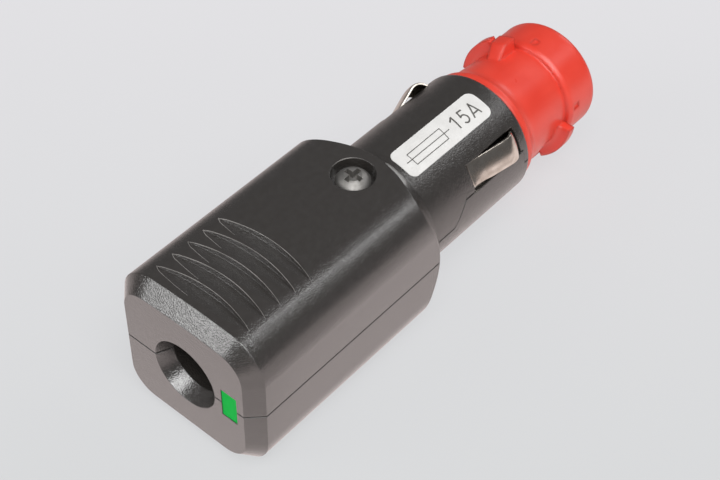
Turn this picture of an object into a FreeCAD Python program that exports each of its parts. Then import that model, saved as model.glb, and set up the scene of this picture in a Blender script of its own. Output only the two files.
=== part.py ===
import FreeCAD, Part
import math
import os
import re

import Sketcher

# Twelve volt lighter plug: a two-half black housing with a barrel, side springs, a fuse behind a sprung
# centre contact, a cable entry with a lamp beside it, and a red adapter ring that twists onto the nose.
# Frame in millimetres: +X along the plug's axis towards its tip, with x = 0 on the shoulder where the
# barrel leaves the housing, +Z up and z = 0 on the axis. Angles are in degrees.

SIZES = {
    # Housing box
    "housing_length": 40.5,
    "housing_width": 26.1,
    "base_drop": 12.5,
    "top_rise": 12.5,
    "crown_drop": 0.2,
    "corner_radius": 6.2,
    "rear_chamfer": 2.15,
    "shoulder_width": 0.85,
    "front_taper": 1.0,
    "wall": 3.0,
    "rear_wall": 6.0,
    "front_wall": 2.5,
    # Barrel and the nose that carries the adapter ring
    "barrel_radius": 10.45,
    "barrel_length": 23.65,
    "barrel_edge": 0.7,
    "barrel_wall": 2.0,
    "barrel_front_wall": 1.6,
    "nose_radius": 6.0,
    "nose_lip": 2.2,
    "nose_edge": 0.5,
    "lug_height": 0.8,
    "lug_width": 3.0,
    "lug_length": 2.0,
    "lug_place": 7.0,
    # Seam between the halves
    "seam_gap": 0.25,
    "seam_rise": 3.3,
    "seam_climb_start": 5.1,
    "seam_climb_length": 3.0,
    "seam_step_rise": 1.0,
    "seam_step_length": 1.45,
    # Grip scallops on the top
    "scallop_count": 5,
    "scallop_pitch": 2.93,
    "scallop_setback": 3.1,
    "scallop_half_width": 8.9,
    "scallop_length": 2.6,
    "scallop_bow": 1.5,
    "scallop_slope": 18.0,
    # Cable entry, lamp and cable clamp at the rear
    "mouth_radius": 5.6,
    "mouth_depth": 2.4,
    "entry_radius": 4.5,
    "cable_radius": 3.8,
    "lamp_width": 2.7,
    "lamp_height": 5.2,
    "lamp_length": 6.6,
    "lamp_shift": 0.425,
    "lamp_recess": 0.1,
    "lamp_fit": 0.05,
    "lead_radius": 0.25,
    "lead_pitch": 2.54,
    "jumper_radius": 0.5,
    "jumper_bend": 1.5,
    "jumper_height": 0.6,
    "resistor_radius": 1.1,
    "resistor_length": 5.5,
    "resistor_setback": 5.0,
    "clamp_setback": 3.0,
    "clamp_width": 4.0,
    "clamp_strap": 0.7,
    "clamp_foot": 2.1,
    "clamp_wire_gap": 0.4,
    "clamp_edge": 1.4,
    "clamp_screw_radius": 0.95,
    "clamp_head_radius": 1.25,
    "clamp_head_height": 1.0,
    "clamp_post_radius": 1.7,
    "clamp_screw_reach": 5.0,
    # Housing screw
    "screw_setback": 6.0,
    "screw_recess_radius": 3.3,
    "screw_seat_depth": 2.2,
    "screw_head_radius": 2.6,
    "screw_head_height": 2.1,
    "screw_shank_radius": 1.45,
    "screw_reach": 8.0,
    "screw_fit": 0.05,
    "cross_width": 0.8,
    "cross_length": 3.0,
    "cross_depth": 1.3,
    "boss_radius": 3.8,
    # Terminals
    "terminal_length": 7.0,
    "terminal_width": 5.0,
    "terminal_top": 3.0,
    "terminal_bottom": 4.0,
    "terminal_setback": 15.0,
    "terminal_side_gap": 1.05,
    "terminal_hole_radius": 1.6,
    "terminal_hole_drop": 1.9,
    "terminal_screw_radius": 1.5,
    "terminal_screw_stand": 1.3,
    "terminal_slot_width": 0.6,
    "terminal_slot_depth": 0.7,
    # Side springs and the earth strip that joins them
    "spring_angle": 60.0,
    "spring_width": 4.2,
    "spring_thickness": 0.4,
    "spring_side_gap": 0.2,
    "spring_peak_rise": 1.6,
    "spring_crown_drop": 0.34,
    "spring_crown_length": 2.2,
    "spring_front_radius": 2.5,
    "spring_front_gap": 0.5,
    "spring_end_drop": 1.7,
    "spring_foot_drop": 0.6,
    "spring_foot_gap": 0.35,
    "spring_tail": 1.2,
    "spring_tail_drop": 2.65,
    "slot_length": 11.3,
    "slot_front_wall": 2.0,
    "strip_thickness": 0.4,
    "strip_width": 2.3,
    "strip_gap": 0.25,
    "strip_sweep": 160.0,
    "strip_tail_height": 2.0,
    # Live chain on the axis: contact plate, coil spring, fuse and tip
    "plate_thickness": 0.75,
    "plate_setback": 0.95,
    "plate_half_height": 3.0,
    "plate_reach": 4.0,
    "coil_radius": 2.4,
    "coil_wire": 0.3,
    "coil_length": 4.9,
    "coil_turns": 4.0,
    "fuse_radius": 3.17,
    "fuse_length": 30.0,
    "fuse_cap_length": 6.0,
    "fuse_cap_wall": 0.3,
    "fuse_glass_wall": 0.65,
    "fuse_wire_radius": 0.15,
    "fuse_clearance": 0.25,
    "cradle_thickness": 2.0,
    "cradle_place": 5.0,
    "cradle_drop": 0.5,
    "cradle_half_width": 6.0,
    "tip_flange_length": 4.9,
    "tip_flange_radius": 3.2,
    "tip_radius": 2.6,
    "tip_stand": 2.6,
    "tip_round": 1.2,
    "tip_fit": 0.05,
    # Red adapter ring
    "adapter_length": 19.35,
    "adapter_gap": 0.15,
    "adapter_fit": 0.06,
    "adapter_lug_gap": 0.25,
    "adapter_release": 60.0,
    "collar_step": 0.6,
    "collar_land": 1.2,
    "flare_length": 2.4,
    "neck_radius": 9.0,
    "neck_taper": 0.6,
    "head_length": 7.25,
    "head_step": 0.7,
    "head_rise": 0.5,
    "head_radius": 9.3,
    "head_edge": 1.4,
    "wing_radius": 10.62,
    "wing_thickness": 1.5,
    "wing_place": 10.1,
    "wing_start": 3.5,
    "wing_sweep": 51.0,
    "wing_root": 0.9,
    "wing_sink": 0.05,
    "hook_start": 61.0,
    "hook_sweep": 16.0,
    "hook_length": 5.3,
    "hook_slope_length": 3.0,
    "dent_length": 1.3,
    "dent_sweep": 6.0,
    "dent_depth": 0.25,
    "top_dent_place": 5.25,
    "top_dent_turn": 87.0,
    "side_dent_place": 5.55,
    "side_dent_turn": 167.5,
    # Rating label on the barrel
    "label_place": 1.8,
    "label_length": 18.5,
    "label_start": 90.5,
    "label_sweep": 27.0,
    "label_thickness": 0.1,
    "label_corner": 1.0,
}

FULL_TURN = "360"
Vector = FreeCAD.Vector
doc = FreeCAD.newDocument("lighter_plug")
sheet = doc.addObject("Spreadsheet::Sheet", "Sizes")
for row, (alias, size) in enumerate(SIZES.items(), start=1):
    sheet.set(f"A{row}", alias)
    sheet.set(f"B{row}", str(size))
    sheet.setAlias(f"B{row}", alias)
doc.recompute()

ALIAS = re.compile("|".join(sorted((rf"\b{name}\b" for name in SIZES), key=len, reverse=True)))


def bound(text):
    """A sum of sizes, written with their names, as an expression on the sheet."""
    return ALIAS.sub(lambda match: "Sizes." + match.group(), text)


def number(text):
    """The same sum of sizes as a plain number, for a sketch's first guess."""
    filled = ALIAS.sub(lambda match: str(float(getattr(sheet, match.group()))), text)
    return FreeCAD.Units.Quantity(filled).Value


# Sketches and features

def new_body(label):
    body = doc.addObject("PartDesign::Body", label)
    body.Label = label
    return body


def origin_feature(body, role):
    return next(feature for feature in body.Origin.OriginFeatures if feature.Role == role)


def sketch_on(body, name, plane, shift=None, turn=None):
    """A sketch on one of the body's own planes. shift moves it along the plane's axes, and turn is an
    axis letter of that plane and an angle."""
    sketch = body.newObject("Sketcher::SketchObject", name)
    sketch.AttachmentSupport = [(origin_feature(body, plane), "")]
    sketch.MapMode = "FlatFace"
    if turn:
        letter, angle = turn
        axis = Vector(letter == "x", letter == "y", letter == "z")
        sketch.AttachmentOffset = FreeCAD.Placement(Vector(), FreeCAD.Rotation(axis, number(angle)))
        sketch.setExpression("AttachmentOffset.Rotation.Angle", f"({bound(angle)}) * 1 deg")
    for letter, text in (shift or {}).items():
        sketch.setExpression(f"AttachmentOffset.Base.{letter}", bound(text))
    return sketch


def bind(sketch, kind, parts, text):
    """Adds one dimension to a sketch and ties it to the sheet."""
    index = sketch.addConstraint(Sketcher.Constraint(kind, *parts, number(text)))
    sketch.setExpression(f"Constraints[{index}]", bound(text))


def outline(sketch, points):
    """Closes a profile through points (across, up). A point with (across, up, radius, side) ends an arc
    whose centre lies left (1) or right (-1) of the way it is drawn."""
    places = [Vector(number(point[0]), number(point[1]), 0) for point in points]
    ends = []
    for index, point in enumerate(points):
        start = places[index - 1]
        end = places[index]
        if len(point) == 2:
            geo = sketch.addGeometry(Part.LineSegment(start, end))
            ends.append((geo, 1, 2))
            continue
        radius = number(point[2])
        chord = end - start
        left = Vector(-chord.y, chord.x, 0).normalize() * point[3]
        centre = (start + end) / 2 + left * math.sqrt(radius ** 2 - (chord.Length / 2) ** 2)
        geo = sketch.addGeometry(Part.ArcOfCircle(start, centre - left * radius, end))
        ends.append((geo, 1, 2) if point[3] > 0 else (geo, 2, 1))
    for index, (geo, first, last) in enumerate(ends):
        following = ends[(index + 1) % len(ends)]
        sketch.addConstraint(Sketcher.Constraint("Coincident", geo, last, following[0], following[1]))
    for point, (geo, first, last) in zip(points, ends):
        bind(sketch, "DistanceX", (-1, 1, geo, last), point[0])
        bind(sketch, "DistanceY", (-1, 1, geo, last), point[1])
        if len(point) == 4:
            bind(sketch, "Radius", (geo,), point[2])
    return sketch


def rectangle(sketch, left, low, right, high):
    return outline(sketch, [(left, low), (right, low), (right, high), (left, high)])


def circle(sketch, across, up, radius):
    middle = Vector(number(across), number(up), 0)
    geo = sketch.addGeometry(Part.Circle(middle, Vector(0, 0, 1), number(radius)))
    bind(sketch, "DistanceX", (-1, 1, geo, 3), across)
    bind(sketch, "DistanceY", (-1, 1, geo, 3), up)
    bind(sketch, "Radius", (geo,), radius)
    return sketch


def add_feature(body, kind, sketch, settings, sizes):
    """Adds a feature to a body, and stops if it adds or takes away nothing."""
    base = body.Tip
    feature = body.newObject("PartDesign::" + kind, f"{sketch.Name}_{kind.lower()}")
    feature.Profile = sketch
    for name, value in settings.items():
        setattr(feature, name, value)
    for name, text in sizes.items():
        feature.setExpression(name, bound(text))
    doc.recompute()
    expect_change(feature, base)
    return feature


def expect_change(feature, base):
    """A cut that points away from the solid leaves every face as it was."""
    if base and abs(feature.Shape.Area - base.Shape.Area) < 1e-6:
        raise RuntimeError(f"{feature.Name} changes nothing")


def pad(body, sketch, length, **settings):
    return add_feature(body, "Pad", sketch, settings, {"Length": length})


def pocket(body, sketch, length, **settings):
    return add_feature(body, "Pocket", sketch, settings, {"Length": length})


def revolve(body, sketch, axis="H_Axis", sweep=FULL_TURN, kind="Revolution"):
    """Turns a profile about one of its sketch's axes."""
    settings = {"ReferenceAxis": (sketch, [axis])}
    return add_feature(body, kind, sketch, settings, {"Angle": f"({sweep}) * 1 deg"})


def groove(body, sketch, axis="H_Axis", sweep=FULL_TURN):
    return revolve(body, sketch, axis, sweep, "Groove")


def dress(body, kind, name, size, wanted):
    """Rounds or chamfers the edges of the body that the test wanted picks."""
    base = body.Tip
    names = [f"Edge{index}" for index, edge in enumerate(base.Shape.Edges, start=1) if wanted(edge)]
    feature = body.newObject("PartDesign::" + kind, name)
    feature.Base = (base, names)
    feature.setExpression("Radius" if kind == "Fillet" else "Size", bound(size))
    doc.recompute()
    return feature


# Places that several pieces share

REAR = "-housing_length"
CAVITY_REAR = "-housing_length + rear_wall"
CAVITY_SIDE = "(housing_width / 2 - wall)"
CAVITY_FLOOR = "-base_drop + wall"
CAVITY_ROOF = "(top_rise - wall)"
CAVITY_CORNER = f"sqrt({CAVITY_SIDE} * {CAVITY_SIDE} + {CAVITY_ROOF} * {CAVITY_ROOF})"
SHOULDER = "(barrel_radius + shoulder_width)"
CAVITY_FRONT = f"(-front_wall - front_taper * ({CAVITY_CORNER} - {SHOULDER}))"
BARREL_INSIDE = "(barrel_radius - barrel_wall)"
SLOT_START = "(barrel_length - slot_front_wall - slot_length)"
SLOT_END = "(barrel_length - slot_front_wall)"
LAMP_SIDE = f"(({CAVITY_SIDE} + mouth_radius) / 2 + lamp_shift)"
TERMINAL_SIDE = f"({CAVITY_SIDE} - terminal_side_gap - terminal_width / 2)"
TERMINAL_REAR = "(-terminal_setback - terminal_length)"
TERMINAL_MIDDLE = "(-terminal_setback - terminal_length / 2)"
TAIL_ROOM = "(spring_tail_drop - barrel_wall + spring_thickness + strip_gap)"
CLAMP_PLACE = f"({CAVITY_REAR} + clamp_setback)"
CLAMP_SEAT = "-clamp_foot"
CLAMP_END = f"({LAMP_SIDE} - lead_radius - clamp_wire_gap)"
CLAMP_SCREW = f"({CLAMP_END} - clamp_edge)"
PLATE_FRONT = "-plate_setback"
PLATE_BACK = "(-plate_setback - plate_thickness)"
FUSE_REAR = f"({PLATE_FRONT} + coil_length)"
FUSE_FRONT = f"({FUSE_REAR} + fuse_length)"
TIP_STOP = f"({FUSE_FRONT} + tip_flange_length + tip_fit)"
NOSE_END = f"({TIP_STOP} + nose_lip)"
NOSE_BORE = "(fuse_radius + fuse_clearance)"
LUG_REAR = "(barrel_length + lug_place)"
LUG_TOP = "(nose_radius + lug_height)"
LUG_CORNER = f"sqrt({LUG_TOP} * {LUG_TOP} + lug_width * lug_width / 4)"
ADAPTER_REAR = "(barrel_length + adapter_gap)"
ADAPTER_FRONT = f"({ADAPTER_REAR} + adapter_length)"
SCREW_SEAT = "(top_rise - screw_seat_depth)"


# Housing: both halves as one moulded form, hollowed and then parted along the seam

def housing_form():
    body = new_body("housing_form")
    half = "housing_width / 2"
    flat = "(housing_width / 2 - corner_radius)"
    eaves = "(top_rise - crown_drop)"
    crown = f"({flat} * {flat} + crown_drop * crown_drop) / (2 * crown_drop)"
    section = sketch_on(body, "box_section", "YZ_Plane")
    outline(section, [
        (flat, "-base_drop"),
        (half, "-base_drop + corner_radius", "corner_radius", 1),
        (half, f"{eaves} - corner_radius"),
        (flat, eaves, "corner_radius", 1),
        (f"-{flat}", eaves, crown, 1),
        (f"-{half}", f"{eaves} - corner_radius", "corner_radius", 1),
        (f"-{half}", "-base_drop + corner_radius"),
        (f"-{flat}", "-base_drop", "corner_radius", 1),
    ])
    pad(body, section, "housing_length", Reversed=True)
    rear = number(REAR)
    dress(body, "Chamfer", "rear_chamfer_cut", "rear_chamfer",
          lambda edge: abs(edge.BoundBox.XMin - rear) + abs(edge.BoundBox.XMax - rear) < 1e-4)
    shape_front(body)
    shape_top(body)
    hollow(body)
    fit_out(body)
    return body


def shape_front(body):
    """Turned front of the box, barrel, nose and the nose's two bayonet lugs."""
    reach = "(housing_width / 2 + base_drop)"
    cone = sketch_on(body, "front_cone", "XZ_Plane")
    outline(cone, [("0", SHOULDER), ("0", reach), (f"-front_taper * ({reach} - {SHOULDER})", reach)])
    groove(body, cone)
    turned = sketch_on(body, "turned_front", "XZ_Plane")
    outline(turned, [
        ("-front_wall", "0"),
        (NOSE_END, "0"),
        (NOSE_END, "nose_radius - nose_edge"),
        (f"{NOSE_END} - nose_edge", "nose_radius"),
        ("barrel_length", "nose_radius"),
        ("barrel_length", "barrel_radius - barrel_edge"),
        ("barrel_length - barrel_edge", "barrel_radius", "barrel_edge", 1),
        ("-front_wall", "barrel_radius"),
    ])
    revolve(body, turned)
    lugs = sketch_on(body, "bayonet_lugs", "XY_Plane")
    rectangle(lugs, LUG_REAR, "-lug_width / 2", f"{LUG_REAR} + lug_length", "lug_width / 2")
    pad(body, lugs, f"2 * {LUG_TOP}", SideType="Symmetric")


def shape_top(body):
    """Grip scallops: each floor slopes down to a bowed step at its front."""
    reach = "scallop_half_width"
    bow_radius = "(scallop_half_width * scallop_half_width + scallop_bow * scallop_bow) / (2 * scallop_bow)"
    start = {"x": f"{REAR} + scallop_setback", "z": "top_rise"}
    scallop = sketch_on(body, "scallop", "XY_Plane", start, ("y", "scallop_slope"))
    outline(scallop, [
        ("-scallop_bow / 2", f"-{reach}"),
        ("scallop_length - scallop_bow", f"-{reach}"),
        ("scallop_length - scallop_bow", reach, bow_radius, 1),
        ("-scallop_bow / 2", reach),
    ])
    first = pocket(body, scallop, "scallop_length", Reversed=True)
    row = body.newObject("PartDesign::LinearPattern", "scallop_row")
    row.Originals = [first]
    row.Direction = (origin_feature(body, "X_Axis"), [""])
    row.setExpression("Length", bound("scallop_pitch * (scallop_count - 1)"))
    row.setExpression("Occurrences", bound("scallop_count"))
    body.Tip = row
    doc.recompute()
    expect_change(row, first)


def hollow(body):
    """Room for the wiring in the box, for the springs in the barrel and for the fuse in the nose."""
    room = sketch_on(body, "box_room", "YZ_Plane", {"z": CAVITY_FRONT})
    rectangle(room, f"-{CAVITY_SIDE}", CAVITY_FLOOR, CAVITY_SIDE, CAVITY_ROOF)
    pocket(body, room, f"housing_length - rear_wall + {CAVITY_FRONT}")
    bores = sketch_on(body, "barrel_bores", "XZ_Plane")
    outline(bores, [
        (f"{CAVITY_FRONT} - front_wall", "0"),
        (NOSE_END, "0"),
        (NOSE_END, "tip_radius + tip_fit"),
        (TIP_STOP, "tip_radius + tip_fit"),
        (TIP_STOP, NOSE_BORE),
        ("barrel_length - barrel_front_wall", NOSE_BORE),
        ("barrel_length - barrel_front_wall", BARREL_INSIDE),
        (f"{CAVITY_FRONT} - front_wall", BARREL_INSIDE),
    ])
    groove(body, bores)
    for side, turn in (("left", "-spring_angle"), ("right", "spring_angle")):
        slot = sketch_on(body, f"{side}_slot", "XY_Plane", turn=("x", turn))
        wide = "(spring_width / 2 + spring_side_gap)"
        rectangle(slot, SLOT_START, f"-{wide}", SLOT_END, wide)
        pocket(body, slot, "2 * barrel_radius", Reversed=True)


def fit_out(body):
    """Bosses, seats, ribs and holes that hold the inner pieces."""
    boss = sketch_on(body, "screw_boss", "XY_Plane")
    circle(boss, "-screw_setback", "0", "boss_radius")
    add_feature(body, "Pad", boss, {"SideType": "Two sides"},
                {"Length": "top_rise - wall / 2", "Length2": "base_drop - wall / 2"})
    thrust = sketch_on(body, "plate_rib", "XY_Plane", {"z": "-cradle_drop"})
    rectangle(thrust, "-screw_setback", "-plate_reach", PLATE_BACK, "plate_reach")
    pad(body, thrust, "base_drop - wall / 2 - cradle_drop", Reversed=True)
    cradle = sketch_on(body, "fuse_cradle", "YZ_Plane", {"z": "cradle_place"})
    rectangle(cradle, "-cradle_half_width", f"-{BARREL_INSIDE}", "cradle_half_width", "-cradle_drop")
    pad(body, cradle, "cradle_thickness")
    channel = sketch_on(body, "fuse_channel", "YZ_Plane", {"z": "cradle_place"})
    circle(channel, "0", "0", NOSE_BORE)
    pocket(body, channel, "cradle_thickness", Reversed=True)
    for side, sign in (("earth", 1), ("live", -1)):
        seat = sketch_on(body, f"{side}_seat", "XY_Plane", {"z": "-terminal_bottom"})
        near, far = terminal_sides(sign)
        rectangle(seat, TERMINAL_REAR, near, "-terminal_setback", far)
        pad(body, seat, "base_drop - wall / 2 - terminal_bottom", Reversed=True)
    support_cable(body)
    open_rear(body)
    drill_screws(body)


def terminal_sides(sign):
    """The two sides of a terminal, low side first, on the left (1) or right (-1) of the axis."""
    near = f"({TERMINAL_SIDE} - terminal_width / 2)"
    far = f"({TERMINAL_SIDE} + terminal_width / 2)"
    return (near, far) if sign > 0 else (f"-{far}", f"-{near}")


def support_cable(body):
    """Cradle under the cable and the two posts that take the clamp's screws."""
    rib = sketch_on(body, "cable_rib", "XY_Plane", {"z": CLAMP_SEAT})
    rectangle(rib, f"{CLAMP_PLACE} - clamp_width / 2", f"-{CLAMP_SCREW}",
              f"{CLAMP_PLACE} + clamp_width / 2", CLAMP_SCREW)
    pad(body, rib, "base_drop - wall / 2 - clamp_foot", Reversed=True)
    posts = sketch_on(body, "clamp_posts", "XY_Plane", {"z": CLAMP_SEAT})
    for side in ("-", ""):
        circle(posts, CLAMP_PLACE, f"{side}{CLAMP_SCREW}", "clamp_post_radius")
    pad(body, posts, "base_drop - wall / 2 - clamp_foot", Reversed=True)
    holes = sketch_on(body, "clamp_holes", "XY_Plane", {"z": CLAMP_SEAT})
    for side in ("-", ""):
        circle(holes, CLAMP_PLACE, f"{side}{CLAMP_SCREW}", "clamp_screw_radius + screw_fit")
    pocket(body, holes, "clamp_screw_reach + screw_fit")


def open_rear(body):
    """Flared cable entry on the axis, a channel for the cable and the lamp's window beside it."""
    entry = sketch_on(body, "cable_entry", "XZ_Plane")
    channel_end = f"{CLAMP_PLACE} + clamp_width / 2"
    outline(entry, [
        (REAR, "0"),
        (channel_end, "0"),
        (channel_end, "cable_radius"),
        (CAVITY_REAR, "cable_radius"),
        (CAVITY_REAR, "entry_radius"),
        (f"{REAR} + mouth_depth", "entry_radius"),
        (REAR, "mouth_radius"),
    ])
    groove(body, entry)
    window = sketch_on(body, "lamp_window", "YZ_Plane", {"z": REAR})
    wide = "(lamp_width / 2 + lamp_fit)"
    high = "(lamp_height / 2 + lamp_fit)"
    rectangle(window, f"-{LAMP_SIDE} - {wide}", f"-{high}", f"-{LAMP_SIDE} + {wide}", high)
    pocket(body, window, "lamp_recess + lamp_length + lamp_fit", Reversed=True)


def drill_screws(body):
    """Stepped hole for the housing screw, round the boss's own axis."""
    hole = sketch_on(body, "screw_hole", "XZ_Plane", {"x": "-screw_setback"})
    outline(hole, [
        ("0", "-screw_reach - screw_fit"),
        ("screw_shank_radius + screw_fit", "-screw_reach - screw_fit"),
        ("screw_shank_radius + screw_fit", SCREW_SEAT),
        ("screw_recess_radius", SCREW_SEAT),
        ("screw_recess_radius", "top_rise + wall"),
        ("0", "top_rise + wall"),
    ])
    groove(body, hole, "V_Axis")


def above_seam(name, level):
    """The room above the seam, which climbs to the spring slots and steps down at the barrel's end."""
    body = new_body(name)
    far = "2 * housing_length"
    climbed = f"seam_rise + {level}"
    stepped = f"seam_step_rise + {level}"
    side = sketch_on(body, name + "_side", "XZ_Plane")
    outline(side, [
        (f"-{far}", level),
        ("seam_climb_start", level),
        ("seam_climb_start + seam_climb_length", climbed),
        ("barrel_length - seam_step_length", climbed),
        ("barrel_length - seam_step_length", stepped),
        ("barrel_length + adapter_gap", stepped),
        ("barrel_length + adapter_gap", level),
        (far, level),
        (far, "2 * top_rise"),
        (f"-{far}", "2 * top_rise"),
    ])
    pad(body, side, "2 * housing_width", SideType="Symmetric")
    return body


def part_halves():
    form = housing_form()
    upper = doc.addObject("Part::Common", "upper_housing")
    upper.Base = form
    upper.Tool = above_seam("upper_room", "seam_gap / 2")
    lower = doc.addObject("Part::Cut", "lower_housing")
    lower.Base = form
    lower.Tool = above_seam("lower_room", "-seam_gap / 2")
    doc.recompute()
    return [upper, lower]


# Screws

def turned(label, points, axis="H_Axis", plane="XZ_Plane", shift=None):
    """A piece turned about one of the sketch's axes."""
    body = new_body(label)
    profile = sketch_on(body, label + "_profile", plane, shift)
    outline(profile, points)
    revolve(body, profile, axis)
    return body


def housing_screw():
    head = f"{SCREW_SEAT} + screw_head_height"
    body = turned("housing_screw", [
        ("0", "-screw_reach"),
        ("screw_shank_radius / 2", "-screw_reach"),
        ("screw_shank_radius", "-screw_reach + screw_shank_radius"),
        ("screw_shank_radius", SCREW_SEAT),
        ("screw_head_radius", SCREW_SEAT),
        ("screw_head_radius", f"{head} - screw_head_height / 2"),
        ("screw_head_radius / 2", head, "screw_head_radius", 1),
        ("0", head),
    ], "V_Axis", shift={"x": "-screw_setback"})
    recess = sketch_on(body, "cross_recess", "XY_Plane", {"x": "-screw_setback", "z": head})
    arm = "cross_width / 2"
    tip = "cross_length / 2"
    outline(recess, [
        (arm, f"-{tip}"), (arm, f"-{arm}"), (tip, f"-{arm}"), (tip, arm), (arm, arm), (arm, tip),
        (f"-{arm}", tip), (f"-{arm}", arm), (f"-{tip}", arm), (f"-{tip}", f"-{arm}"),
        (f"-{arm}", f"-{arm}"), (f"-{arm}", f"-{tip}"),
    ])
    pocket(body, recess, "cross_depth")
    return body


def clamp_screw(label, sign):
    """Its head sits on the strap's foot, level with the cable's axis."""
    return turned(label, [
        ("0", f"{CLAMP_SEAT} - clamp_screw_reach"),
        ("clamp_screw_radius", f"{CLAMP_SEAT} - clamp_screw_reach"),
        ("clamp_screw_radius", "0"),
        ("clamp_head_radius", "0"),
        ("clamp_head_radius", "clamp_head_height"),
        ("0", "clamp_head_height"),
    ], "V_Axis", shift={"x": CLAMP_PLACE, "z": f"{sign}{CLAMP_SCREW}"})


# Cable clamp, lamp and its wiring

def cable_clamp():
    """Strap bent over the cable, with a foot on each post."""
    body = new_body("cable_clamp")
    inner = "(cable_radius + screw_fit)"
    outer = f"({inner} + clamp_strap)"
    end = CLAMP_END
    strap = sketch_on(body, "clamp_strap", "YZ_Plane", {"z": f"{CLAMP_PLACE} - clamp_width / 2"})
    outline(strap, [
        (f"-{end}", CLAMP_SEAT), (f"-{inner}", CLAMP_SEAT), (f"-{inner}", "0"),
        ("0", inner, inner, -1), (inner, "0", inner, -1), (inner, CLAMP_SEAT), (end, CLAMP_SEAT),
        (end, "0"), (outer, "0"), ("0", outer, outer, 1), (f"-{outer}", "0", outer, 1), (f"-{end}", "0"),
    ])
    pad(body, strap, "clamp_width")
    holes = sketch_on(body, "strap_holes", "XY_Plane")
    for side in ("-", ""):
        circle(holes, CLAMP_PLACE, f"{side}{CLAMP_SCREW}", "clamp_screw_radius + screw_fit")
    pocket(body, holes, "clamp_foot")
    return body


def indicator_lamp():
    body = new_body("indicator_lamp")
    face = sketch_on(body, "lamp_face", "YZ_Plane", {"z": f"{REAR} + lamp_recess"})
    rectangle(face, f"-{LAMP_SIDE} - lamp_width / 2", "-lamp_height / 2",
              f"-{LAMP_SIDE} + lamp_width / 2", "lamp_height / 2")
    pad(body, face, "lamp_length")
    return body


def rod(label, start, end, side, height, radius):
    """A straight round piece along X."""
    body = new_body(label)
    section = sketch_on(body, label + "_section", "YZ_Plane", {"z": start})
    circle(section, side, height, radius)
    pad(body, section, f"({end}) - ({start})")
    return body


def lamp_wiring():
    """The lamp's live leg runs through a resistor to the live terminal."""
    lamp_back = f"({REAR} + lamp_recess + lamp_length)"
    resistor_rear = f"({lamp_back} + resistor_setback)"
    resistor_front = f"({resistor_rear} + resistor_length)"
    side = f"-{LAMP_SIDE}"
    height = "-lead_pitch / 2"
    return [
        rod("lamp_lead", lamp_back, resistor_rear, side, height, "lead_radius"),
        rod("series_resistor", resistor_rear, resistor_front, side, height, "resistor_radius"),
        rod("resistor_lead", resistor_front, TERMINAL_REAR, side, height, "lead_radius"),
        jumper_wire(lamp_back),
    ]


def jumper_wire(lamp_back):
    """Insulated wire from the lamp's other leg, across under the roof, to the earth terminal."""
    start = number(lamp_back)
    across = number(f"({lamp_back} + {TERMINAL_REAR}) / 2 + jumper_bend")
    end = number(TERMINAL_REAR)
    leg = number("lead_pitch / 2")
    roof = number(f"{CAVITY_ROOF} - jumper_radius - jumper_height")
    right = -number(LAMP_SIDE)
    left = number(f"{TERMINAL_SIDE} + terminal_width / 2 - jumper_radius")
    rise = number("terminal_top - jumper_radius")
    corners = [
        Vector(start, right, leg),
        Vector(across, right, leg),
        Vector(across, right, roof),
        Vector(across, left, roof),
        Vector(across, left, rise),
        Vector(end, left, rise),
    ]
    wire = doc.addObject("Part::Feature", "jumper_wire")
    wire.Shape = bent_wire(corners, number("jumper_radius"), number("jumper_bend"))
    return wire


def bent_wire(corners, radius, bend):
    """A round wire along straight runs that are joined by arcs."""
    edges = []
    here = corners[0]
    for before, corner, after in zip(corners, corners[1:], corners[2:]):
        back = (before - corner).normalize()
        ahead = (after - corner).normalize()
        enter = corner + back * bend
        leave = corner + ahead * bend
        middle = corner + (back + ahead) * bend * (1 - math.sqrt(0.5))
        edges.append(Part.makeLine(here, enter))
        edges.append(Part.Arc(enter, middle, leave).toShape())
        here = leave
    edges.append(Part.makeLine(here, corners[-1]))
    section = Part.Wire(Part.makeCircle(radius, corners[0], corners[1] - corners[0]))
    return Part.Wire(edges).makePipeShell([section], True, True)


# Terminals and strips

def terminal(label, sign):
    """Brass block with a hole for the wire and a tapped hole for its screw."""
    body = new_body(label)
    block = sketch_on(body, label + "_block", "XY_Plane", {"z": "-terminal_bottom"})
    near, far = terminal_sides(sign)
    rectangle(block, TERMINAL_REAR, near, "-terminal_setback", far)
    pad(body, block, "terminal_top + terminal_bottom")
    side = TERMINAL_SIDE if sign > 0 else f"-{TERMINAL_SIDE}"
    wire_hole = sketch_on(body, label + "_wire_hole", "YZ_Plane", {"z": TERMINAL_REAR})
    circle(wire_hole, side, "-terminal_hole_drop", "terminal_hole_radius")
    pocket(body, wire_hole, "terminal_length", Reversed=True)
    tapped = sketch_on(body, label + "_tapped_hole", "XY_Plane", {"z": "terminal_top"})
    circle(tapped, TERMINAL_MIDDLE, side, "terminal_screw_radius + screw_fit")
    pocket(body, tapped, "terminal_top + terminal_hole_drop")
    return body


def terminal_screw(label, sign):
    """Slotted screw that stands in the block and ends at the wire's hole."""
    body = new_body(label)
    side = TERMINAL_SIDE if sign > 0 else f"-{TERMINAL_SIDE}"
    low = "(terminal_hole_radius - terminal_hole_drop)"
    shank = sketch_on(body, label + "_shank", "XY_Plane", {"z": low})
    circle(shank, TERMINAL_MIDDLE, side, "terminal_screw_radius")
    pad(body, shank, f"terminal_top + terminal_screw_stand - {low}")
    slot = sketch_on(body, label + "_slot", "XY_Plane", {"z": "terminal_top + terminal_screw_stand"})
    rectangle(slot, f"{TERMINAL_MIDDLE} - 2 * terminal_screw_radius", f"{side} - terminal_slot_width / 2",
              f"{TERMINAL_MIDDLE} + 2 * terminal_screw_radius", f"{side} + terminal_slot_width / 2")
    pocket(body, slot, "terminal_slot_depth")
    return body


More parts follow.
